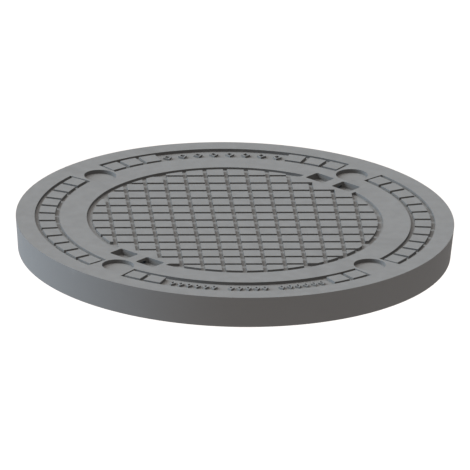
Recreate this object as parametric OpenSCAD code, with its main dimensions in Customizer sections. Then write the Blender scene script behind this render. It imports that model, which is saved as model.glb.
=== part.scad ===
// Round screw-down manhole cover.
// A ribbed iron casting with a non-slip tread, a seal in its bearing rim, and four captive
// locking screws, each under a lift-out plug.
// +Z is up, z = 0 is the bearing face and the Z axis is the cover's own axis.

/* [Cover] */
// Diameter across the top
cover_d = 636; // [560:1:780]
// Height from the bearing face to the walking surface
cover_h = 47; // [44:0.5:60]
// How much smaller the bearing end's radius is than the top's
side_draft = 4.3; // [1:0.1:8]
// Thickness of the top plate
plate_t = 14; // [12:0.5:18]
// Width of the flat bearing rim
rim_w = 25.7; // [22:0.1:34]
// How far the inside of the rim leans in towards the plate
rim_draft = 4; // [0:0.5:8]

/* [Ribs] */
// Number of radial ribs under the plate
rib_n = 8; // [8:8:16]
// Thickness of a rib
rib_t = 10; // [6:1:14]
// Height of the ribs' lower edge above the bearing face
rib_lift = 4; // [2:0.5:10]
// Diameter of the hub where the ribs meet
hub_d = 84; // [60:1:120]

/* [Tread] */
// Depth of every tread groove
tread_depth = 4.4; // [2:0.1:6]
// Width of a tread groove
groove_w = 6; // [4:0.5:9]
// Distance from one pad of the centre field to the next
pad_pitch = 30; // [24:0.5:40]
// Width of the groove that rings the centre field
ring_groove_w = 8; // [5:0.5:12]
// Plain ring between the centre field and the outer band
ring_land = 40; // [34:0.5:50]
// Radial width of the outer band
band_w = 35.5; // [28:0.5:42]
// Plain ring outside the outer band
edge_land = 27.5; // [20:0.5:40]
// Blocks of the band in each quarter, counting those left out
block_n = 12; // [8:1:16]
// Blocks left out on the far side for the raised studs
far_gap_n = 6; // [2:2:8]
// Blocks left out on the near side for the raised studs
near_gap_n = 8; // [2:2:8]
// Smallest piece of a pad that is kept at the edge of the field
pad_scrap = 4; // [2:0.5:10]

/* [Raised studs] */
// Length of a stud, along the cover's radius
stud_l = 16; // [10:0.5:20]
// Width of a stud in the far group
far_stud_w = 13; // [6:0.5:14]
// Width of a stud in the near groups
near_stud_w = 9.5; // [5:0.5:10]
// Width of the stud's raised outline
stud_line = 2.6; // [1.5:0.1:3]
// Height of the studs above the groove floor
stud_h = 3; // [1:0.1:4]
// Studs in the far group
far_stud_n = 8; // [4:1:10]
// Studs in each of the three near groups
near_stud_n = [6, 5, 6]; // [2:1:7]

/* [Lifting pockets] */
// Distance of the pocket pairs from the cover's edge
pocket_inset = 101.5; // [98:0.5:110]
// Length of one pocket, along the pair
pocket_l = 33; // [28:0.5:38]
// Width of one pocket
pocket_w = 26; // [20:0.5:30]
// Depth of a pocket
pocket_depth = 9.2; // [8:0.1:10]
// Corner radius of a pocket
pocket_r = 2.5; // [1:0.5:5]
// Width of the lifting bar between two pockets
bar_w = 17; // [14:0.5:22]
// Thickness of the lifting bar
bar_t = 4.6; // [4:0.1:5]
// Plain metal on each side of a pair of pockets, to the tread
pocket_land = 7.5; // [4:0.5:12]
// Plain metal between the pockets and the tread towards the hub
plain_rim = 5; // [3:0.5:8]

/* [Screw stations] */
// Distance of the screws from the cover's edge
station_inset = 59.3; // [58:0.1:62]
// Diameter of the round recess
recess_d = 46.5; // [44:0.5:52]
// Depth from the walking surface to the top of a plug
recess_depth = 5.6; // [4:0.1:7]
// Plain metal between a recess and the end of the outer band
recess_land = 5.85; // [4:0.05:10]
// Thickness of a plug
plug_t = 4; // [3.5:0.1:5]
// Width of the screwdriver notch in a plug's edge
notch_w = 8; // [6:0.5:10]
// Length of the notch, in from the edge
notch_l = 4; // [3:0.5:6]
// Depth of the notch
notch_depth = 1.2; // [0.8:0.1:1.5]
// Diameter of the well under a plug
well_d = 38; // [32:0.5:41]
// Diameter of the boss around a well
boss_d = 60; // [56:0.5:66]
// Height of the boss's lower face above the bearing face
boss_lift = 10; // [6:0.5:11]
// Thickness of the floor of a well
well_floor = 6.5; // [5:0.5:8]

/* [Locking screws] */
// Thread diameter
thread_d = 12; // [10:1:14]
// How much slimmer the waist above the thread is
waist_step = 1.9; // [1.5:0.1:3]
// Height of the hexagon head
head_h = 7.5; // [6:0.5:9]
// Width across the head's flats
head_af = 18; // [15:0.5:21]
// Height of the parked screw's tip above the bearing face
tip_lift = 0.5; // [0.4:0.1:3]
// Thread pitch, which also sets the tip's lead-in
thread_pitch = 1.75; // [1:0.25:2]
// Washer thickness
washer_t = 2.5; // [1.5:0.5:3]
// Washer outer diameter
washer_d = 24; // [21:0.5:28]
// Outer diameter of the bush
bush_d = 20; // [17:0.5:24]
// Clear height between a parked head and the plug over it
head_gap = 1.4; // [1:0.1:3]
// How far the head's corners are turned off at the top
head_chamfer = 1.2; // [0.5:0.1:2]

/* [Seals] */
// Width of the groove in the bearing rim
rim_groove_w = 8; // [5:0.5:10]
// Depth of that groove
rim_groove_depth = 5; // [3:0.5:7]
// Plain metal outside that groove, at the bearing face
rim_groove_land = 8.7; // [6:0.1:12]
// Thickness of a plug's O-ring
plug_ring_t = 1.7; // [1.2:0.1:2]
// Height of that O-ring's groove above the plug's lower face
plug_ring_lift = 0.6; // [0.5:0.1:1.2]
// Room for that O-ring in its groove
plug_ring_gap = 0.1; // [0.05:0.05:0.3]
// Thickness of the O-ring that grips the screw
shank_ring_t = 1.9; // [1.2:0.1:2.2]

// Room for that O-ring in its groove, along the screw
ring_side_gap = 0.3; // [0.1:0.05:0.5]

/* [Clearances] */
// Gap round pieces that lift out or turn
free_gap = 0.3; // [0.2:0.05:0.5]
// Running gap of the screw's waist in its bush
running_gap = 0.05; // [0.02:0.01:0.1]
// Gap between a seal and the side of its groove
seal_gap = 0.25; // [0.1:0.05:0.4]

/* [Hidden] */
STATIONS = [1, 2, 3, 4];

$fn = 96;
HEX = 6;
QUARTER = 90;
IRON = "#8f9291";
STEEL = "#c4c7c9";
RUBBER = "#2b2c2d";
past = 1;                                // how far a cut runs past the metal that it cuts

// Radii of the walking surface's rings
cover_r = cover_d / 2;
foot_r = cover_r - side_draft;
band_out = cover_r - edge_land;
band_in = band_out - band_w;
band_mid = (band_out + band_in) / 2;
block_out = band_out - groove_w;
block_in = band_in + groove_w;
field_r = band_in - ring_land;
pad_field_r = field_r - ring_groove_w;
station_r = cover_r - station_inset;
pocket_at = cover_r - pocket_inset;

// Heights
tread_z = cover_h - tread_depth;
plate_z = cover_h - plate_t;
pocket_z = cover_h - pocket_depth;
pan_z = pocket_z - plate_t + tread_depth;
plug_top_z = cover_h - recess_depth;
ledge_z = plug_top_z - plug_t;
well_z = boss_lift + well_floor;
thread_top_z = boss_lift - free_gap;
head_top_z = ledge_z - head_gap;
head_z = head_top_z - head_h;
washer_z = head_z - washer_t;
screw_travel = washer_z - well_z;        // how far the screw drops to its seat

// Angles of the outer band
station_angle = 45;
band_half = QUARTER / 2 - asin((recess_d / 2 + recess_land) / band_mid);
block_angle = 2 * band_half / block_n;
half_groove_angle = atan(groove_w / 2 / band_mid);

// Screws and their bushes
waist_r = (thread_d - waist_step) / 2;
bush_bore_r = waist_r + running_gap;
thread_h = thread_pitch * 0.6;           // depth of the thread
ring_groove_h = shank_ring_t + ring_side_gap;
plug_groove_h = plug_ring_t + plug_ring_gap;
plug_groove_z = ledge_z + plug_ring_lift;
plug_r = recess_d / 2 - free_gap;

function quarter_angle(q) = QUARTER * q;
// The number of blocks left out on each side of a quarter's middle
function gap_half(q) = q == 1 ? far_gap_n / 2 : q == 3 ? near_gap_n / 2 : 0;

// A cell of the centre field is named by the step of its low corner
function cell_mid(i) = (i + 0.5) * pad_pitch;
function out_along(i, j) = (cell_mid(i) + cell_mid(j)) / sqrt(2);
function across(i, j) = abs(cell_mid(j) - cell_mid(i)) / sqrt(2);
plain_half = bar_w / 2 + pocket_l + pocket_land;
pocket_near_r = pocket_at - pocket_w / 2;
// True where a lifting pocket would cut into the cell, so that it stays plain
function is_plain(i, j) =
    out_along(i, j) + pad_pitch / sqrt(2) > pocket_near_r && across(i, j) < plain_half;
function low_edge(i) = min(abs(i * pad_pitch + groove_w / 2), abs((i + 1) * pad_pitch - groove_w / 2));
function far_edge(i) = max(abs(i * pad_pitch + groove_w / 2), abs((i + 1) * pad_pitch - groove_w / 2));
cells = ceil(field_r / pad_pitch);
steps = [-cells : cells - 1];

module at_station(k) {
    rotate(station_angle + QUARTER * (k - 1)) translate([station_r, 0, 0]) children();
}

module at_pockets() {
    for (side = [0, 1]) rotate(station_angle + 180 * side) translate([pocket_at, 0, 0]) children();
}

module ring_2d(outer, inner) {
    difference() {
        circle(outer);
        circle(inner);
    }
}

// ---- walking surface ----

module pad(i, j) {
    translate([i * pad_pitch + groove_w / 2, j * pad_pitch + groove_w / 2])
        square(pad_pitch - groove_w);
}

module field_pads() {
    for (i = steps, j = steps)
        if (norm([far_edge(i), far_edge(j)]) <= pad_field_r) pad(i, j);
    intersection() {
        circle(pad_field_r);
        union() {
            for (i = steps, j = steps)
                if (norm([far_edge(i), far_edge(j)]) > pad_field_r
                    && norm([low_edge(i), low_edge(j)]) < pad_field_r - pad_scrap) pad(i, j);
        }
    }
}

// The plain stair beside a pair of pockets, in the quarter where x and y are positive
module plain_stair() {
    for (i = [0 : cells], j = [0 : cells])
        if (is_plain(i, j))
            translate([i * pad_pitch + groove_w / 2, j * pad_pitch + groove_w / 2])
                square([
                    is_plain(i + 1, j) ? pad_pitch : pad_pitch - groove_w,
                    is_plain(i, j + 1) ? pad_pitch : pad_pitch - groove_w
                ]);
    rotate(station_angle)
        translate([pocket_near_r - plain_rim, -plain_half])
            square([pocket_w + plain_rim + ring_land / 2, 2 * plain_half]);
}

module field_grooves_2d() {
    difference() {
        circle(field_r);
        field_pads();
        for (side = [0, 1]) rotate(180 * side) plain_stair();
    }
}

// A four-sided slice between two angles, longer than the band is wide
module slice(a0, a1) {
    r0 = band_in - past;
    r1 = (band_out + past) / cos((a1 - a0) / 2);
    polygon([
        [r0 * cos(a0), r0 * sin(a0)], [r1 * cos(a0), r1 * sin(a0)],
        [r1 * cos(a1), r1 * sin(a1)], [r0 * cos(a1), r0 * sin(a1)]
    ]);
}

module band_blocks(q) {
    intersection() {
        ring_2d(block_out, block_in);
        union() {
            for (b = [0 : block_n - 1])
                if (abs(b - (block_n - 1) / 2) > gap_half(q))
                    slice(
                        quarter_angle(q) - band_half + block_angle * b + half_groove_angle,
                        quarter_angle(q) - band_half + block_angle * (b + 1) - half_groove_angle
                    );
        }
    }
}

module band_grooves() {
    for (q = [0 : 3])
        translate([0, 0, tread_z]) difference() {
            rotate([0, 0, quarter_angle(q) - band_half])
                rotate_extrude(angle = 2 * band_half)
                    translate([band_in, 0]) square([band_w, tread_depth + past]);
            translate([0, 0, -past]) linear_extrude(tread_depth + 3 * past) band_blocks(q);
        }
}

// A plain open lozenge, rooted in the groove floor
module stud(w) {
    translate([0, 0, -past]) linear_extrude(stud_h + past) difference() {
        lozenge(w, stud_l);
        lozenge(w - 2 * stud_line, stud_l - 2 * stud_line * stud_l / w);
    }
}

module lozenge(w, l) {
    polygon([[l / 2, 0], [0, w / 2], [-l / 2, 0], [0, -w / 2]]);
}

module stud_at(angle, w) {
    rotate(angle) translate([band_mid, 0, tread_z]) stud(w);
}

module far_studs() {
    step = far_gap_n * block_angle / far_stud_n;
    for (s = [0 : far_stud_n - 1])
        stud_at(quarter_angle(1) + (s - (far_stud_n - 1) / 2) * step, far_stud_w);
}

module near_studs() {
    total = near_stud_n[0] + near_stud_n[1] + near_stud_n[2] + 2;    // with one place between groups
    step = near_gap_n * block_angle / (total + 1);
    starts = [0, near_stud_n[0] + 1, near_stud_n[0] + near_stud_n[1] + 2];
    for (g = [0 : 2], s = [0 : near_stud_n[g] - 1])
        stud_at(quarter_angle(3) + (starts[g] + s - (total - 1) / 2) * step, near_stud_w);
}

// ---- lifting pockets ----

module rounded_2d(l, w, r) {
    square([l - 2 * r, w], center = true);
    square([l, w - 2 * r], center = true);
    for (x = [-1, 1], y = [-1, 1]) translate([x * (l / 2 - r), y * (w / 2 - r)]) circle(r);
}

module pocket_pair() {
    offset_y = (bar_w + pocket_l) / 2;
    for (side = [-1, 1])
        translate([0, side * offset_y, pocket_z])
            linear_extrude(pocket_depth + past) rounded_2d(pocket_w, pocket_l, pocket_r);
    // The hook's way through under the lifting bar
    tunnel_w = pocket_w - 2 * pocket_r;
    translate([-tunnel_w / 2, -bar_w / 2 - past, pocket_z])
        cube([tunnel_w, bar_w + 2 * past, pocket_depth - bar_t]);
}

module pocket_pan() {
    pan_l = bar_w + 2 * pocket_l + 2 * rib_t;
    pan_w = pocket_w + 2 * rib_t;
    translate([-pan_w / 2, -pan_l / 2, pan_z]) cube([pan_w, pan_l, plate_z - pan_z + past]);
}

// ---- casting ----

module outer_body() {
    rotate_extrude()
        polygon([[0, 0], [foot_r, 0], [cover_r, cover_h], [0, cover_h]]);
}

module underside_hollow() {
    r0 = foot_r - rim_w;
    translate([0, 0, -past])
        cylinder(
            h = plate_z + past,
            r1 = r0 + rim_draft * past / plate_z,
            r2 = r0 - rim_draft
        );
}

module ribs() {
    rib_end = foot_r - rim_w / 2;
    for (n = [0 : rib_n - 1])
        rotate(360 / rib_n * n) translate([0, -rib_t / 2, rib_lift])
            cube([rib_end - rim_w / 2 + past, rib_t, plate_z - rib_lift + past]);
    translate([0, 0, rib_lift]) cylinder(h = plate_z - rib_lift + past, d = hub_d);
}

module station_boss() {
    translate([0, 0, boss_lift]) cylinder(h = plate_z - boss_lift + past, d = boss_d);
}

// Removes the ribs from under a boss, so that its lower face is flat
module station_foot_cut() {
    translate([0, 0, -past]) cylinder(h = boss_lift + past, d = boss_d);
}

module station_cut() {
    translate([0, 0, ledge_z]) cylinder(h = cover_h - ledge_z + past, d = recess_d);
    translate([0, 0, well_z]) cylinder(h = ledge_z - well_z + past, d = well_d);
    translate([0, 0, boss_lift - past]) cylinder(h = well_floor + 2 * past, d = bush_d);
}

module rim_groove_2d() {
    translate([foot_r - rim_groove_land - rim_groove_w, 0]) square([rim_groove_w, rim_groove_depth]);
}

module cover_casting() {
    color(IRON) {
        difference() {
            union() {
                difference() {
                    outer_body();
                    underside_hollow();
                }
                difference() {
                    ribs();
                    for (k = STATIONS) at_station(k) station_foot_cut();
                }
                for (k = STATIONS) at_station(k) station_boss();
                at_pockets() pocket_pan();
            }
            for (k = STATIONS) at_station(k) station_cut();
            at_pockets() pocket_pair();
            translate([0, 0, tread_z]) linear_extrude(tread_depth + past) field_grooves_2d();
            band_grooves();
            translate([0, 0, -past])
                rotate_extrude() {
                    rim_groove_2d();
                    translate([0, past]) rim_groove_2d();
                }
        }
        far_studs();
        near_studs();
    }
}

module rim_seal() {
    lip = rim_groove_w / 4;
    outer = foot_r - rim_groove_land - seal_gap;
    inner = foot_r - rim_groove_land - rim_groove_w + seal_gap;
    color(RUBBER) rotate_extrude()
        polygon([
            [inner + lip, 0], [outer - lip, 0], [outer, lip], [outer, rim_groove_depth],
            [inner, rim_groove_depth], [inner, lip]
        ]);
}

// ---- screw stations ----

module ring_groove(mid_r, depth, h, z) {
    translate([0, 0, z]) rotate_extrude() translate([mid_r - depth, 0]) square([2 * depth, h]);
}

module recess_plug() {
    color(IRON) difference() {
        translate([0, 0, ledge_z]) cylinder(h = plug_t, r = plug_r);
        ring_groove(plug_r, plug_groove_h, plug_groove_h, plug_groove_z);
        // A notch for a screwdriver
        translate([-notch_w / 2, -plug_r - past, plug_top_z - notch_depth])
            cube([notch_w, notch_l + past, notch_depth + past]);
    }
}

module torus(mid_r, thickness, z) {
    translate([0, 0, z]) rotate_extrude() translate([mid_r, 0]) circle(d = thickness);
}

module plug_seal() {
    mid_r = plug_r - (plug_ring_t - plug_ring_gap) / 2;
    color(RUBBER) torus(mid_r, plug_ring_t, plug_groove_z + plug_groove_h / 2);
}

module locking_screw() {
    tip_r = thread_d / 2 - thread_h;
    lead = thread_pitch;
    corner_r = head_af / sqrt(3);
    color(STEEL) {
        translate([0, 0, tip_lift]) cylinder(h = lead, r1 = tip_r, r2 = thread_d / 2);
        translate([0, 0, tip_lift + lead])
            cylinder(h = thread_top_z - tip_lift - lead, d = thread_d);
        translate([0, 0, thread_top_z]) cylinder(h = head_z - thread_top_z, r = waist_r);
        // The hexagon head, with its corners turned off at the top
        intersection() {
            translate([0, 0, head_z]) cylinder(h = head_h, r = corner_r, $fn = HEX);
            translate([0, 0, head_z])
                cylinder(
                    h = head_h,
                    r1 = corner_r + head_h * sqrt(3) - head_chamfer,
                    r2 = corner_r - head_chamfer
                );
        }
    }
}

module screw_washer() {
    color(STEEL) translate([0, 0, washer_z]) difference() {
        cylinder(h = washer_t, d = washer_d);
        translate([0, 0, -past]) cylinder(h = washer_t + 2 * past, r = waist_r + seal_gap);
    }
}

bush_groove_z = boss_lift + (well_floor - ring_groove_h) / 2;
module captive_bush() {
    color(STEEL) difference() {
        translate([0, 0, boss_lift]) cylinder(h = well_floor, d = bush_d);
        translate([0, 0, boss_lift - past]) cylinder(h = well_floor + 2 * past, r = bush_bore_r);
        ring_groove(bush_bore_r, shank_ring_t, ring_groove_h, bush_groove_z);
    }
}

module shank_seal() {
    mid_r = bush_bore_r + shank_ring_t / 2;
    color(RUBBER) torus(mid_r, shank_ring_t, bush_groove_z + ring_groove_h / 2);
}

// Turns a plug so that its notch points the same way at every station
module plug_turned(k) {
    rotate(-station_angle - QUARTER * (k - 1)) recess_plug();
}

cover_casting();
rim_seal();
for (k = STATIONS) {
    at_station(k) plug_turned(k);
    at_station(k) plug_seal();
    at_station(k) locking_screw();
    at_station(k) screw_washer();
    at_station(k) captive_bush();
    at_station(k) shank_seal();
}
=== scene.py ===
"""Looks of a round screw-down manhole cover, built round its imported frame.

The casting, plugs, seals, screws, washers and bushes are each made as their own mesh, in metres,
in the frame's own axes: +Z is up and z = 0 is the bearing face.
"""

import logging
import math
from dataclasses import dataclass, field
from enum import Enum

import bmesh
import bpy
from mathutils import Matrix, Quaternion, Vector


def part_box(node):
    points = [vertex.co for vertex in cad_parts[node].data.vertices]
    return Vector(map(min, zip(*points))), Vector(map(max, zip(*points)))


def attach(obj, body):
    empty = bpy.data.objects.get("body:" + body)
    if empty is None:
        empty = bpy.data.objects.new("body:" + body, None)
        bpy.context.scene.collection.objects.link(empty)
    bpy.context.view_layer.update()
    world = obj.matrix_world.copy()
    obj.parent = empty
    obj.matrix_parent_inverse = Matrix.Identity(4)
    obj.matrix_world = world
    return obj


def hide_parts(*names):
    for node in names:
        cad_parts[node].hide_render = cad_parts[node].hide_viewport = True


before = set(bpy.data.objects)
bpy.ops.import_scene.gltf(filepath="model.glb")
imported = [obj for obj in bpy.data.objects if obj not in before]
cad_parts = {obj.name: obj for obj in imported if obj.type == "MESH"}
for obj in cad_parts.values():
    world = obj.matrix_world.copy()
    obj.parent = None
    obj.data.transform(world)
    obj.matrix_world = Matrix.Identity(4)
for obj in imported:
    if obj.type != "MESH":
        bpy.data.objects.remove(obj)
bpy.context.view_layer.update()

Triple = tuple[float, float, float]
Outline = list[tuple[float, float]]
Socket = bpy.types.NodeSocket

MM = 0.001
LEVEL = 0.02 * MM  # how near to a height a corner lies to count as being at it
WEAR = "edge_wear"

logging.basicConfig(level=logging.INFO, format="%(name)s: %(message)s")
log = logging.getLogger("manhole_cover")


class Station(Enum):
    """The four screw stations, by the angle of each from +X, in degrees."""

    FIRST = 45
    SECOND = 135
    THIRD = 225
    FOURTH = 315

    @property
    def number(self) -> int:
        """The number that ends the names of the station's pieces."""
        return list(Station).index(self) + 1

    def node(self, name: str) -> str:
        """The CAD node of one of the station's pieces."""
        return f"{name}_{self.number}"

    def centre(self) -> Vector:
        """The station's axis, as a point at z = 0, from the middle of its washer."""
        low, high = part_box(self.node("screw_washer"))
        return Vector(((low.x + high.x) / 2, (low.y + high.y) / 2, 0.0))


class Side(Enum):
    """Which way a flat region faces."""

    UP = 1
    DOWN = -1


class Corner(Enum):
    """How the rim of a flat region is eased: rounded off, or filled up against its walls."""

    ROUNDED = -1
    FILLETED = 1


# ---------------------------------------------------------------- node materials


class NodeSheet:
    """A material's node tree, with short calls that add and join nodes."""

    def __init__(self, name: str) -> None:
        """Starts an empty material.

        Args:
            name: The material's name.
        """
        self.material = bpy.data.materials.new(name)
        self.material.use_nodes = True
        self.tree = self.material.node_tree
        self.tree.nodes.clear()
        self.shader = self.add("ShaderNodeBsdfPrincipled")
        output = self.add("ShaderNodeOutputMaterial")
        self.join(self.shader.outputs["BSDF"], output.inputs["Surface"])
        self.place = self.add("ShaderNodeTexCoord").outputs["Object"]

    def add(self, kind: str, **settings: object) -> bpy.types.Node:
        """Adds a node.

        Args:
            kind: Blender's name for the node type.
            **settings: Attributes of the node, or values for its inputs.

        Returns:
            The new node.
        """
        node = self.tree.nodes.new(kind)
        for key, value in settings.items():
            if hasattr(node, key):
                setattr(node, key, value)
            else:
                node.inputs[key.replace("_", " ").title()].default_value = value
        return node

    def join(self, start: Socket, end: Socket) -> None:
        """Joins an output to an input."""
        self.tree.links.new(start, end)

    def centred(self, point: Vector) -> Socket:
        """Object coordinates measured from a point.

        Args:
            point: The pattern's centre, in metres.

        Returns:
            The socket that holds the coordinates.
        """
        mapping = self.add("ShaderNodeMapping")
        mapping.inputs["Location"].default_value = -point
        self.join(self.place, mapping.inputs["Vector"])
        return mapping.outputs["Vector"]

    def noise(
        self, scale: float, detail: float, rough: float = 0.5, at: Socket | None = None
    ) -> Socket:
        """Adds a noise.

        Args:
            scale: Features per metre, about.
            detail: Octaves.
            rough: How strong the fine octaves are.
            at: Coordinates, or None for the object's own.

        Returns:
            The noise value's socket.
        """
        node = self.add("ShaderNodeTexNoise", scale=scale, detail=detail, roughness=rough)
        self.join(at or self.place, node.inputs["Vector"])
        return node.outputs["Fac"]

    def spread(
        self, value: Socket, low: float, high: float, to_low: float, to_high: float
    ) -> Socket:
        """Maps a range of values to another, clamped.

        Args:
            value: The socket to map.
            low: Start of the old range.
            high: End of the old range.
            to_low: Start of the new range.
            to_high: End of the new range.

        Returns:
            The mapped value's socket.
        """
        node = self.add("ShaderNodeMapRange")
        ends = {"From Min": low, "From Max": high, "To Min": to_low, "To Max": to_high}
        for key, number in ends.items():
            node.inputs[key].default_value = number
        self.join(value, node.inputs["Value"])
        return node.outputs["Result"]

    def blend(
        self,
        share: Socket,
        first: Triple | Socket,
        second: Triple,
    ) -> Socket:
        """Mixes two colours.

        Args:
            share: How much of the second colour shows.
            first: A colour, or the socket of one.
            second: A colour.

        Returns:
            The mixed colour's socket.
        """
        node = self.add("ShaderNodeMix", data_type="RGBA")
        self.join(share, node.inputs["Factor"])
        if isinstance(first, tuple):
            node.inputs[6].default_value = (*first, 1.0)
        else:
            self.join(first, node.inputs[6])
        node.inputs[7].default_value = (*second, 1.0)
        return node.outputs[2]

    def times(
        self, first: Socket, second: Socket | float, how: str = "MULTIPLY"
    ) -> Socket:
        """Multiplies two values, or joins them by another operation.

        Args:
            first: A value's socket.
            second: A number or a value's socket.
            how: Blender's name for the operation.

        Returns:
            The result's socket.
        """
        node = self.add("ShaderNodeMath", operation=how)
        self.join(first, node.inputs[0])
        if isinstance(second, (int, float)):
            node.inputs[1].default_value = second
        else:
            self.join(second, node.inputs[1])
        return node.outputs[0]

    def relief(self, height: Socket, depth: float, strength: float) -> None:
        """Drives the surface's bump from a height.

        Args:
            height: The height's socket, from 0 to 1.
            depth: What a height of 1 measures, in metres.
            strength: How much of the bump shows.
        """
        node = self.add("ShaderNodeBump")
        node.inputs["Distance"].default_value = depth
        node.inputs["Strength"].default_value = strength
        self.join(height, node.inputs["Height"])
        self.join(node.outputs["Normal"], self.shader.inputs["Normal"])

    def set(self, **values: float) -> None:
        """Sets numbers on the shader's own inputs, named in lower case with underscores."""
        for key, number in values.items():
            title = key.replace("_", " ").title().replace("Ior", "IOR")
            self.shader.inputs[title].default_value = number


@dataclass(frozen=True)
class PaintedCasting:
    """Thin dull paint on a sand-cast skin, rubbed lighter on the edges of the tread."""

    name: str = "painted_casting"
    colour: Triple = (0.130, 0.128, 0.126)
    deep: Triple = (0.125, 0.123, 0.121)
    rubbed: Triple = (0.143, 0.141, 0.139)
    cloud: float = 9.0
    patch: float = 70.0
    grain: float = 900.0
    pits: float = 520.0
    smoothest: float = 0.70
    roughest: float = 0.86
    skin_depth: float = 0.15 * MM
    skin_strength: float = 0.28
    specular: float = 0.15

    def material(self) -> bpy.types.Material:
        """Builds the material.

        Returns:
            The finished material.
        """
        sheet = NodeSheet(self.name)
        cloud = sheet.spread(sheet.noise(self.cloud, 3.0, 0.5), 0.30, 0.70, 0.0, 1.0)
        grain = sheet.noise(self.grain, 4.0, 0.6)
        pits = sheet.add("ShaderNodeTexVoronoi", feature="SMOOTH_F1")
        pits.inputs["Scale"].default_value = self.pits
        pits.inputs["Smoothness"].default_value = 0.6
        sheet.join(sheet.place, pits.inputs["Vector"])
        pit = pits.outputs["Distance"]
        speck = sheet.spread(grain, 0.40, 0.62, 0.0, 0.4)
        base = sheet.blend(cloud, self.colour, self.deep)
        base = sheet.blend(speck, base, self.deep)
        edge = sheet.add("ShaderNodeAttribute", attribute_name=WEAR).outputs["Fac"]
        patch = sheet.spread(sheet.noise(self.patch, 3.0), 0.35, 0.7, 0.25, 1.0)
        base = sheet.blend(sheet.times(edge, patch), base, self.rubbed)
        sheet.join(base, sheet.shader.inputs["Base Color"])
        rough = sheet.spread(grain, 0.3, 0.7, self.smoothest, self.roughest)
        sheet.join(rough, sheet.shader.inputs["Roughness"])
        height = sheet.times(grain, sheet.times(pit, 0.7), "ADD")
        sheet.relief(height, self.skin_depth, self.skin_strength)
        sheet.set(specular_ior_level=self.specular)
        return sheet.material


@dataclass(frozen=True)
class TurnedSteel:
    """Stainless steel with the fine rings that a lathe leaves round a centre."""

    name: str
    centre: Vector
    colour: Triple = (0.60, 0.59, 0.575)
    dull: Triple = (0.47, 0.465, 0.455)
    rings: float = 2600.0
    waver: float = 1.2
    smears: float = 160.0
    smoothest: float = 0.26
    roughest: float = 0.42
    skin_depth: float = 0.02 * MM
    skin_strength: float = 0.35

    def material(self) -> bpy.types.Material:
        """Builds the material.

        Returns:
            The finished material.
        """
        sheet = NodeSheet(self.name)
        at = sheet.centred(self.centre)
        wave = sheet.add("ShaderNodeTexWave", wave_type="RINGS", rings_direction="Z")
        wave.inputs["Scale"].default_value = self.rings
        wave.inputs["Distortion"].default_value = self.waver
        wave.inputs["Detail"].default_value = 2.0
        sheet.join(at, wave.inputs["Vector"])
        ring = wave.outputs["Fac"]
        smear = sheet.noise(self.smears, 4.0, 0.6, at)
        base = sheet.blend(sheet.spread(smear, 0.35, 0.7, 0.0, 1.0), self.colour, self.dull)
        sheet.join(base, sheet.shader.inputs["Base Color"])
        rough = sheet.spread(smear, 0.3, 0.7, self.smoothest, self.roughest)
        sheet.join(rough, sheet.shader.inputs["Roughness"])
        sheet.relief(sheet.times(ring, smear), self.skin_depth, self.skin_strength)
        sheet.set(metallic=1.0)
        return sheet.material


@dataclass(frozen=True)
class MouldedRubber:
    """Black moulded rubber with a faint bloom."""

    name: str = "moulded_rubber"
    colour: Triple = (0.018, 0.018, 0.019)
    bloom: Triple = (0.045, 0.045, 0.046)
    cloud: float = 45.0
    grain: float = 2200.0
    smoothest: float = 0.5
    roughest: float = 0.66
    skin_depth: float = 0.05 * MM
    skin_strength: float = 0.3
    specular: float = 0.35

    def material(self) -> bpy.types.Material:
        """Builds the material.

        Returns:
            The finished material.
        """
        sheet = NodeSheet(self.name)
        bloom = sheet.spread(sheet.noise(self.cloud, 5.0, 0.65), 0.45, 0.75, 0.0, 0.8)
        sheet.join(sheet.blend(bloom, self.colour, self.bloom), sheet.shader.inputs["Base Color"])
        grain = sheet.noise(self.grain, 3.0)
        rough = sheet.spread(grain, 0.3, 0.7, self.smoothest, self.roughest)
        sheet.join(rough, sheet.shader.inputs["Roughness"])
        sheet.relief(grain, self.skin_depth, self.skin_strength)
        sheet.set(specular_ior_level=self.specular)
        return sheet.material


# ---------------------------------------------------------------- mesh tools


def merged_copy(node: str) -> bmesh.types.BMesh:
    """Copies a CAD node's mesh and joins its loose triangles.

    Args:
        node: The node's name.

    Returns:
        The joined mesh.
    """
    bm = bmesh.new()
    bm.from_mesh(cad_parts[node].data)
    bmesh.ops.remove_doubles(bm, verts=bm.verts, dist=2e-6)
    bm.normal_update()
    return bm


def flat_region(bm: bmesh.types.BMesh, z: float, side: Side) -> list[bmesh.types.BMFace]:
    """Finds the faces that lie at one height and face one way.

    Args:
        bm: The mesh.
        z: The height, in metres.
        side: Which way the faces look.

    Returns:
        The faces.
    """
    return [
        f
        for f in bm.faces
        if f.normal.z * side.value > 0.999 and all(abs(v.co.z - z) < LEVEL for v in f.verts)
    ]


def simplified_region(bm: bmesh.types.BMesh, z: float, side: Side) -> list[bmesh.types.BMFace]:
    """Joins the small coplanar faces of the flat regions at one height.

    Args:
        bm: The mesh.
        z: The regions' height.
        side: Which way they look.

    Returns:
        The fewer, larger faces.
    """
    inside = set(flat_region(bm, z, side))
    edges = {e for f in inside for e in f.edges}
    edges = [e for e in edges if all(f in inside for f in e.link_faces)]
    bmesh.ops.dissolve_limit(
        bm, angle_limit=math.radians(1), use_dissolve_boundaries=False, verts=[], edges=edges
    )
    return flat_region(bm, z, side)


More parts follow.
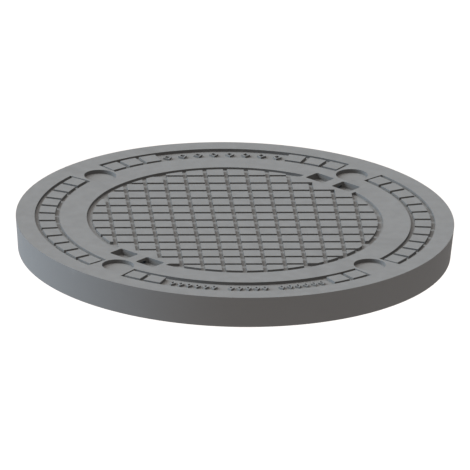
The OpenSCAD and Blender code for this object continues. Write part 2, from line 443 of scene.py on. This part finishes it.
def bevel_rim(
    bm: bmesh.types.BMesh, z: float, side: Side, radius: float, steps: int = 3, weld: float = 0.0
) -> int:
    """Bevels the rim of the flat regions at one height, which suits crowded corners.

    Args:
        bm: The mesh.
        z: The regions' height.
        side: Which way they look.
        radius: The width of the bevel.
        steps: Faces across it.
        weld: Corners nearer to each other than this are joined first.

    Returns:
        The number of edges that were bevelled.
    """
    if weld:
        level = [v for v in bm.verts if abs(v.co.z - z) < LEVEL]
        bmesh.ops.remove_doubles(bm, verts=level, dist=weld)
        bm.normal_update()
    inside = set(simplified_region(bm, z, side))
    edges = {e for f in inside for e in f.edges}
    rim = [e for e in edges if sum(f in inside for f in e.link_faces) == 1]
    bmesh.ops.bevel(
        bm, geom=rim, offset=radius, affect="EDGES", segments=steps, profile=0.5, material=-1
    )
    bm.normal_update()
    return len(rim)


def ease_rim(
    bm: bmesh.types.BMesh,
    z: float,
    side: Side,
    corner: Corner,
    radius: float,
    steps: int = 3,
    wear: float = 0.0,
) -> int:
    """Rounds or fillets the whole rim of the flat regions at one height.

    Args:
        bm: The mesh.
        z: The regions' height.
        side: Which way they look.
        corner: ROUNDED for an outer edge, FILLETED for an inner corner.
        radius: The rounding's radius.
        steps: Faces across the rounding.
        wear: How rubbed the rounding is, from 0 to 1.

    Returns:
        The number of faces that were eased.
    """
    layer = bm.verts.layers.float.get(WEAR) or bm.verts.layers.float.new(WEAR)
    region = simplified_region(bm, z, side)
    inside = set(region)

    def rim() -> list[bmesh.types.BMVert]:
        """The vertices where the region meets other faces."""
        verts = {v for f in inside for v in f.verts}
        return [v for v in verts if any(f not in inside for f in v.link_faces)]

    rings = [rim()]
    turns = [math.pi / 2 * k / steps for k in range(steps + 1)]
    for before, after in zip(turns, turns[1:]):
        width = radius * (math.cos(before) - math.cos(after))
        bmesh.ops.inset_region(
            bm, faces=region, thickness=width, use_even_offset=True, use_boundary=True
        )
        rings.append(rim())
    guard = radius / 2
    bmesh.ops.inset_region(
        bm, faces=region, thickness=guard, use_even_offset=True, use_boundary=True
    )
    for turn, ring in zip(turns, rings):
        lift = radius * (1 - math.sin(turn)) * corner.value * side.value
        for v in ring:
            v.co.z = z + lift
            v[layer] = wear
    bm.normal_update()
    return len(region)


def finish_mesh(bm: bmesh.types.BMesh, name: str, smooth_angle: float = 40.0) -> bpy.types.Object:
    """Makes an object of a mesh, shaded smooth except at sharp edges.

    Args:
        bm: The mesh, which is freed.
        name: The object's name.
        smooth_angle: Edges that turn by more than this many degrees stay sharp.

    Returns:
        The object, at the origin.
    """
    mesh = bpy.data.meshes.new(name)
    bm.normal_update()
    for face in bm.faces:
        face.smooth = True
    for edge in bm.edges:
        edge.smooth = edge.calc_face_angle(0.0) < math.radians(smooth_angle)
    bm.to_mesh(mesh)
    bm.free()
    piece = bpy.data.objects.new(name, mesh)
    bpy.context.scene.collection.objects.link(piece)
    weighted = piece.modifiers.new("even_shading", "WEIGHTED_NORMAL")
    weighted.keep_sharp = True
    weighted.weight = 80
    return piece


def install(
    piece: bpy.types.Object, node: str, body: str, material: bpy.types.Material
) -> None:
    """Dresses a piece, puts it in place of its CAD node and lets it ride on its body.

    Args:
        piece: The piece.
        node: The CAD node that it stands for.
        body: The body that it moves with.
        material: Its finish.
    """
    piece.data.materials.clear()
    piece.data.materials.append(material)
    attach(piece, body)
    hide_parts(node)
    log.info("%s on %s: %d faces", piece.name, body, len(piece.data.polygons))


def lathe(outline: Outline, centre: Vector, steps: int) -> bmesh.types.BMesh:
    """Turns a closed outline about a vertical axis.

    Args:
        outline: Points (radius, height) in order round the outline.
        centre: A point on the axis.
        steps: Faces round the turn.

    Returns:
        The turned mesh.
    """
    bm = bmesh.new()
    verts = [bm.verts.new((centre.x + r, centre.y, z)) for r, z in outline]
    edges = [bm.edges.new((a, b)) for a, b in zip(verts, verts[1:] + verts[:1])]
    bmesh.ops.spin(
        bm,
        geom=verts + edges,
        cent=centre,
        axis=(0, 0, 1),
        angle=math.tau,
        steps=steps,
        use_merge=True,
        use_duplicate=False,
    )
    bmesh.ops.remove_doubles(bm, verts=bm.verts, dist=1e-6)
    bmesh.ops.recalc_face_normals(bm, faces=bm.faces)
    return bm


def arc(
    middle: tuple[float, float], radius: float, start: float, end: float, steps: int
) -> Outline:
    """Points along an arc of an outline.

    Args:
        middle: The arc's centre (radius, height).
        radius: The arc's radius.
        start: Its first angle, in degrees.
        end: Its last angle.
        steps: The number of pieces that it is cut into.

    Returns:
        The points, both ends included.
    """
    turns = [math.radians(start + (end - start) * k / steps) for k in range(steps + 1)]
    return [(middle[0] + radius * math.cos(t), middle[1] + radius * math.sin(t)) for t in turns]


# ---------------------------------------------------------------- the cover's pieces


@dataclass
class CoverCasting:
    """The ribbed casting, with its cast edges eased."""

    tread_depth: float = 4.4 * MM
    stud_drop: float = 1.4 * MM
    pocket_depth: float = 9.2 * MM
    plate_t: float = 14.0 * MM
    rib_lift: float = 4.0 * MM
    boss_lift: float = 10.0 * MM
    top_radius: float = 0.8 * MM
    top_wear: float = 1.0
    stud_radius: float = 0.5 * MM
    stud_wear: float = 0.6
    foot_radius: float = 0.8 * MM
    fillet: float = 0.7 * MM
    pocket_fillet: float = 1.6 * MM
    root_fillet: float = 3.0 * MM
    pan_drop: float = 18.8 * MM
    rib_radius: float = 1.5 * MM
    rib_weld: float = 1.5 * MM
    finish: PaintedCasting = field(default_factory=PaintedCasting)

    def build(self) -> bpy.types.Object:
        """Builds the mesh.

        Returns:
            The casting's object.
        """
        bm = merged_copy("cover_casting")
        low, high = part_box("cover_casting")
        top = high.z
        up, down, rounded, filleted = Side.UP, Side.DOWN, Corner.ROUNDED, Corner.FILLETED
        studs, tread = top - self.stud_drop, top - self.tread_depth
        pockets, plate = top - self.pocket_depth, top - self.plate_t
        eased = {
            "walking surface": ease_rim(
                bm, top, up, rounded, self.top_radius, wear=self.top_wear
            ),
            "studs": ease_rim(bm, studs, up, rounded, self.stud_radius, 2, self.stud_wear),
            "grooves": ease_rim(bm, tread, up, filleted, self.fillet, 2),
            "pockets": ease_rim(bm, pockets, up, filleted, self.pocket_fillet),
            "plate": bevel_rim(bm, plate, down, self.root_fillet),
            "ribs": bevel_rim(bm, self.rib_lift, down, self.rib_radius, weld=self.rib_weld),
            "pans": ease_rim(bm, top - self.pan_drop, down, rounded, self.rib_radius),
            "bosses": ease_rim(bm, self.boss_lift, down, rounded, self.foot_radius),
            "bearing face": ease_rim(bm, low.z, down, rounded, self.foot_radius),
        }
        bmesh.ops.triangulate(bm, faces=[f for f in bm.faces if len(f.verts) > 4])
        log.info("eased %s", eased)
        return finish_mesh(bm, "casting")

    def install(self) -> None:
        """Builds, dresses and places the casting."""
        install(self.build(), "cover_casting", "cover", self.finish.material())


@dataclass
class RimSeal:
    """The rubber ring in the bearing rim, with two soft lips on its lower face."""

    lip: float = 1.6 * MM
    width: float = 7.5 * MM
    steps: int = 160

    def build(self) -> bpy.types.Object:
        """Builds the ring.

        Returns:
            The ring's object.
        """
        low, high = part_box("rim_seal")
        outer = high.x
        inner = outer - self.width
        mid = (outer + inner) / 2
        lip, base = self.lip, low.z
        outline = arc((outer - lip, base + lip), lip, 0, -90, 4)
        outline += [(mid + lip / 2, base), (mid, base + lip / 2), (mid - lip / 2, base)]
        outline += arc((inner + lip, base + lip), lip, -90, -180, 4)
        outline += [(inner, high.z), (outer, high.z)]
        return finish_mesh(lathe(outline, Vector((0, 0, 0)), self.steps), "rim_ring")

    def install(self, rubber: bpy.types.Material) -> None:
        """Builds, dresses and places the ring."""
        install(self.build(), "rim_seal", "cover", rubber)


@dataclass
class ScrewStation:
    """One screw station: plug, plug ring, screw, washer, bush and shank ring."""

    station: Station
    thread_pitch: float = 1.75 * MM
    thread_depth: float = 1.07 * MM
    thread_r: float = 6.0 * MM
    thread_top: float = 9.7 * MM
    thread_neck: float = 0.8 * MM
    thread_lead: float = 0.3 * MM
    thread_foot: float = 0.42
    thread_crest: float = 0.07
    lap: float = 0.1 * MM
    waist_r: float = 5.05 * MM
    waist_flare: float = 0.6 * MM
    tip_chamfer: float = 0.4 * MM
    head_h: float = 7.5 * MM
    head_flats: float = 18.0 * MM
    head_crown: float = 0.9 * MM
    head_edge: float = 0.25 * MM
    head_rim: float = 1.4 * MM
    dish_slope: float = 0.5 * MM
    dish_depth: float = 0.35 * MM
    plug_top_radius: float = 0.35 * MM
    plug_foot_radius: float = 0.3 * MM
    plug_wear: float = 0.5
    washer_r: float = 12.0 * MM
    washer_bore_r: float = 5.3 * MM
    washer_roll: float = 0.6 * MM
    washer_crisp: float = 0.15 * MM
    bush_r: float = 10.0 * MM
    bush_bore_r: float = 5.1 * MM
    bush_lead: float = 0.5 * MM
    bush_groove_r: float = 7.0 * MM
    bush_groove_gap: float = 0.15 * MM
    ring_points: int = 14
    turn_steps: int = 48
    round_steps: int = 64
    crisp_angle: float = 30.0

    def __post_init__(self) -> None:
        """Reads the station's axis from the frame."""
        self.centre = self.station.centre()

    def heights(self, name: str) -> tuple[float, float]:
        """The lowest and highest point of one of the station's CAD nodes."""
        low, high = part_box(self.station.node(name))
        return low.z, high.z

    def plug(self) -> bpy.types.Object:
        """The lift-out plug, with its edges eased.

        Returns:
            The plug's object.
        """
        bm = merged_copy(self.station.node("recess_plug"))
        low, high = self.heights("recess_plug")
        ease_rim(bm, high, Side.UP, Corner.ROUNDED, self.plug_top_radius, 2, self.plug_wear)
        ease_rim(bm, low, Side.DOWN, Corner.ROUNDED, self.plug_foot_radius, 2)
        return finish_mesh(bm, f"plug_{self.station.number}")

    def ring(self, node: str, name: str) -> bpy.types.Object:
        """An O-ring, from its node's box.

        Args:
            node: The ring's CAD node, without its number.
            name: The new piece's name, without its number.

        Returns:
            The ring's object.
        """
        low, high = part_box(self.station.node(node))
        thick = (high.z - low.z) / 2
        outer = (high.x - low.x) / 2
        points = self.ring_points
        outline = arc((outer - thick, low.z + thick), thick, 0, 360 - 360 / points, points - 1)
        return finish_mesh(lathe(outline, self.centre, 72), f"{name}_{self.station.number}")

    def washer(self) -> bpy.types.Object:
        """The stamped washer, with one rolled and one crisp edge.

        Returns:
            The washer's object.
        """
        low, high = self.heights("screw_washer")
        outer, inner = self.washer_r, self.washer_bore_r
        roll, crisp = self.washer_roll, self.washer_crisp
        outline = arc((outer - roll, high - roll), roll, 90, 0, 4)
        outline += [(outer, low + crisp), (outer - crisp, low)]
        outline += [(inner + crisp, low), (inner, low + crisp)]
        outline += arc((inner + roll, high - roll), roll, 180, 90, 4)
        turned = lathe(outline, self.centre, self.round_steps)
        return finish_mesh(turned, f"washer_{self.station.number}")

    def bush(self) -> bpy.types.Object:
        """The bush, with led-in mouths and the groove for its ring.

        Returns:
            The bush's object.
        """
        low, high = self.heights("captive_bush")
        ring_low, ring_high = self.heights("shank_seal")
        outer, bore, lead = self.bush_r, self.bush_bore_r, self.bush_lead
        gap, groove_r = self.bush_groove_gap, self.bush_groove_r
        groove_low, groove_high = ring_low - gap, ring_high + gap
        outline = [
            (outer, low + lead),
            (outer, high - lead),
            (outer - lead, high),
            (bore + lead, high),
            (bore, high - lead),
            (bore, groove_high),
            (groove_r, groove_high),
            (groove_r, groove_low),
            (bore, groove_low),
            (bore, low + lead),
            (bore + lead, low),
            (outer - lead, low),
        ]
        turned = lathe(outline, self.centre, self.round_steps)
        return finish_mesh(turned, f"bush_{self.station.number}", self.crisp_angle)

    def screw(self) -> bpy.types.Object:
        """The captive screw: hexagon head, waist and a cut thread.

        Returns:
            The screw's object.
        """
        low, high = self.heights("locking_screw")
        body = lathe(self.screw_outline(low), self.centre, self.turn_steps)
        head = self.hex_head(high)
        thread = self.thread(low)
        for extra in (head, thread):
            mesh = bpy.data.meshes.new("part")
            extra.to_mesh(mesh)
            extra.free()
            body.from_mesh(mesh)
            bpy.data.meshes.remove(mesh)
        return finish_mesh(body, f"screw_{self.station.number}", self.crisp_angle)

    def screw_outline(self, low: float) -> Outline:
        """The turned part of the screw.

        Args:
            low: The height of the screw's tip.

        Returns:
            Its outline, closed on the axis.
        """
        head_low = self.heights("locking_screw")[1] - self.head_h
        core, waist, full = self.thread_r - self.thread_depth, self.waist_r, self.thread_r
        top, neck = self.thread_top, self.thread_neck
        tip, flare = self.tip_chamfer, self.waist_flare
        return [
            (0.0, low),
            (core - tip, low),
            (core, low + tip),
            (core, top - neck),
            (full, top - neck / 2),
            (full, top),
            (waist, top),
            (waist, head_low - flare),
            (waist + flare, head_low),
            (0.0, head_low + self.lap),
        ]

    def hex_head(self, high: float) -> bmesh.types.BMesh:
        """The hexagon head, with its top corners turned off and a shallow dish.

        Args:
            high: The height of the head's top.

        Returns:
            The head's mesh.
        """
        tall, flats = self.head_h, self.head_flats
        corner = flats / math.sqrt(3)
        bm = bmesh.new()
        turn = Matrix.Rotation(math.radians(self.station.value), 4, "Z")
        place = Matrix.Translation(Vector((self.centre.x, self.centre.y, high - tall / 2)))
        bmesh.ops.create_cone(
            bm,
            cap_ends=True,
            segments=6,
            radius1=corner,
            radius2=corner,
            depth=tall,
            matrix=place @ turn,
        )
        top = [f for f in bm.faces if f.normal.z > 0.9]
        rim = list({e for f in top for e in f.edges})
        bmesh.ops.bevel(
            bm,
            geom=rim,
            offset=self.head_crown,
            affect="EDGES",
            segments=3,
            profile=0.5,
            material=-1,
        )
        uprights = [
            e for e in bm.edges if abs((e.verts[0].co - e.verts[1].co).normalized().z) > 0.99
        ]
        bmesh.ops.bevel(
            bm,
            geom=uprights,
            offset=self.head_edge,
            affect="EDGES",
            segments=2,
            profile=0.5,
            material=-1,
        )
        near_top = high - 0.01 * MM
        top = [
            f for f in bm.faces if f.normal.z > 0.999 and f.calc_center_median().z > near_top
        ]
        bmesh.ops.inset_region(bm, faces=top, thickness=self.head_rim, use_even_offset=True)
        bmesh.ops.inset_region(
            bm,
            faces=top,
            thickness=self.dish_slope,
            depth=-self.dish_depth,
            use_even_offset=True,
        )
        return bm

    def thread(self, low: float) -> bmesh.types.BMesh:
        """The thread's ridge, wound up the core and closed at both ends.

        Args:
            low: The height of the screw's tip.

        Returns:
            The ridge's mesh.
        """
        full, root = self.thread_r, self.thread_r - self.thread_depth - self.lap
        half, crest = self.thread_pitch * self.thread_foot, self.thread_pitch * self.thread_crest
        start = low + half + self.thread_lead
        turns = (self.thread_top - self.thread_neck - half - start) / self.thread_pitch
        bm = bmesh.new()
        c = self.centre
        points = [(root, -half), (full, -crest), (full, crest), (root, half)]
        verts = [bm.verts.new((c.x + r, c.y, start + z)) for r, z in points]
        face = bm.faces.new(verts)
        steps = max(1, round(turns * self.turn_steps))
        bmesh.ops.spin(
            bm,
            geom=[face],
            cent=c,
            axis=(0, 0, 1),
            dvec=(0, 0, turns * self.thread_pitch / steps),
            angle=math.tau * turns,
            steps=steps,
            use_duplicate=False,
        )
        bmesh.ops.recalc_face_normals(bm, faces=bm.faces)
        return bm

    def install(self, casting: bpy.types.Material, rubber: bpy.types.Material) -> None:
        """Builds, dresses and places the station's six pieces.

        Args:
            casting: The plug's finish.
            rubber: The rings' finish.
        """
        n, node = self.station.number, self.station.node
        steel = TurnedSteel(f"turned_steel_{n}", self.centre).material()
        install(self.plug(), node("recess_plug"), f"plug_{n}", casting)
        plug_ring = self.ring("plug_seal", "plug_ring")
        install(plug_ring, node("plug_seal"), f"plug_{n}", rubber)
        install(self.screw(), node("locking_screw"), f"screw_{n}", steel)
        install(self.washer(), node("screw_washer"), f"washer_{n}", steel)
        install(self.bush(), node("captive_bush"), "cover", steel)
        shank_ring = self.ring("shank_seal", "shank_ring")
        install(shank_ring, node("shank_seal"), "cover", rubber)


# ---------------------------------------------------------------- studio


@dataclass
class Studio:
    """A plain pale floor, soft lights and the camera."""

    azimuth: float = -4.55
    elevation: float = 20.75
    roll: float = 1.446
    width: float = 0.6812
    aim_drop: float = 0.0218
    distance: float = 2.4
    floor_size: float = 30.0
    floor_drop: float = 0.3 * MM
    fill: float = 0.03
    floor_colour: Triple = (0.59, 0.57, 0.56)

    def build(self) -> None:
        """Makes the floor, lights and camera."""
        self.lights(self.floor())
        self.camera()

    def floor(self) -> bpy.types.Object:
        """Makes the floor.

        Returns:
            The floor's object.
        """
        bm = bmesh.new()
        bmesh.ops.create_grid(bm, x_segments=1, y_segments=1, size=self.floor_size / 2)
        bmesh.ops.translate(bm, verts=bm.verts, vec=(0, 0, -self.floor_drop))
        mesh = bpy.data.meshes.new("floor")
        bm.to_mesh(mesh)
        bm.free()
        floor = bpy.data.objects.new("floor", mesh)
        bpy.context.scene.collection.objects.link(floor)
        sheet = NodeSheet("pale_floor")
        sheet.shader.inputs["Base Color"].default_value = (*self.floor_colour, 1.0)
        sheet.set(roughness=1.0, specular_ior_level=0.0)
        mesh.materials.append(sheet.material)
        return floor

    def sun(
        self, name: str, azimuth: float, height: float, soft: float, power: float, colour: Triple
    ) -> bpy.types.Object:
        """Adds a soft sun.

        Args:
            name: The light's name.
            azimuth: Where the light comes from, in degrees from +X.
            height: Its elevation, in degrees.
            soft: How wide it looks, in degrees.
            power: Its strength.
            colour: Its colour.

        Returns:
            The light.
        """
        data = bpy.data.lights.new(name, "SUN")
        data.energy, data.color, data.angle = power, colour, math.radians(soft)
        light = bpy.data.objects.new(name, data)
        a, h = math.radians(azimuth), math.radians(height)
        source = Vector((math.cos(a) * math.cos(h), math.sin(a) * math.cos(h), math.sin(h)))
        light.rotation_mode = "QUATERNION"
        light.rotation_quaternion = source.to_track_quat("Z", "Y")
        light.location = source * 3
        bpy.context.scene.collection.objects.link(light)
        return light

    def lights(self, floor: bpy.types.Object) -> None:
        """Makes the key, left and overhead lights for the cover, and an even one for the floor.

        Args:
            floor: The floor, which only its own light reaches, so that it stays plain.
        """
        floor_only = bpy.data.collections.new("floor_only")
        floor_only.objects.link(floor)
        elsewhere = bpy.data.collections.new("not_the_floor")
        elsewhere.objects.link(floor)
        elsewhere.collection_objects[0].light_linking.link_state = "EXCLUDE"
        key = self.sun(
            "cool_key", azimuth=163.0, height=33.0, soft=46.0, power=5.4, colour=(0.91, 1.0, 1.06)
        )
        left = self.sun(
            "cool_left", azimuth=168.0, height=5.0, soft=30.0, power=0.7, colour=(0.10, 1.0, 2.10)
        )
        overhead = self.sun(
            "soft_overhead",
            azimuth=90.0,
            height=90.0,
            soft=96.0,
            power=3.2,
            colour=(1.04, 1.0, 0.97),
        )
        for light in (key, left, overhead):
            light.light_linking.receiver_collection = elsewhere
        even = self.sun(
            "floor_light", azimuth=90.0, height=90.0, soft=10.0, power=5.7, colour=(1.0, 1.0, 1.0)
        )
        even.light_linking.receiver_collection = floor_only
        even.light_linking.blocker_collection = floor_only
        world = bpy.data.worlds.new("soft_fill")
        world.use_nodes = True
        back = world.node_tree.nodes["Background"]
        back.inputs["Color"].default_value = (1.0, 1.0, 1.0, 1.0)
        back.inputs["Strength"].default_value = self.fill
        bpy.context.scene.world = world
        bpy.context.scene.view_settings.view_transform = "Standard"

    def camera(self) -> None:
        """Makes the camera."""
        data = bpy.data.cameras.new("camera")
        data.type = "ORTHO"
        data.ortho_scale = self.width
        data.clip_end = 50.0
        camera = bpy.data.objects.new("camera", data)
        a, e = math.radians(self.azimuth), math.radians(self.elevation)
        back = Vector((math.sin(a) * math.cos(e), -math.cos(a) * math.cos(e), math.sin(e)))
        turn = back.to_track_quat("Z", "Y") @ Quaternion((0, 0, 1), math.radians(self.roll))
        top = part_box("cover_casting")[1].z
        aim = Vector((0, 0, top)) + turn @ Vector((0, -self.aim_drop, 0))
        camera.rotation_mode = "QUATERNION"
        camera.rotation_quaternion = turn
        camera.location = aim + back * self.distance
        bpy.context.scene.collection.objects.link(camera)
        bpy.context.scene.camera = camera


def main() -> None:
    """Builds the cover's pieces in order, then the studio."""
    casting = CoverCasting()
    casting.install()
    rubber = MouldedRubber().material()
    RimSeal().install(rubber)
    paint = bpy.data.materials[casting.finish.name]
    for station in Station:
        ScrewStation(station).install(paint, rubber)
    Studio().build()


if __name__ == "__main__":
    main()
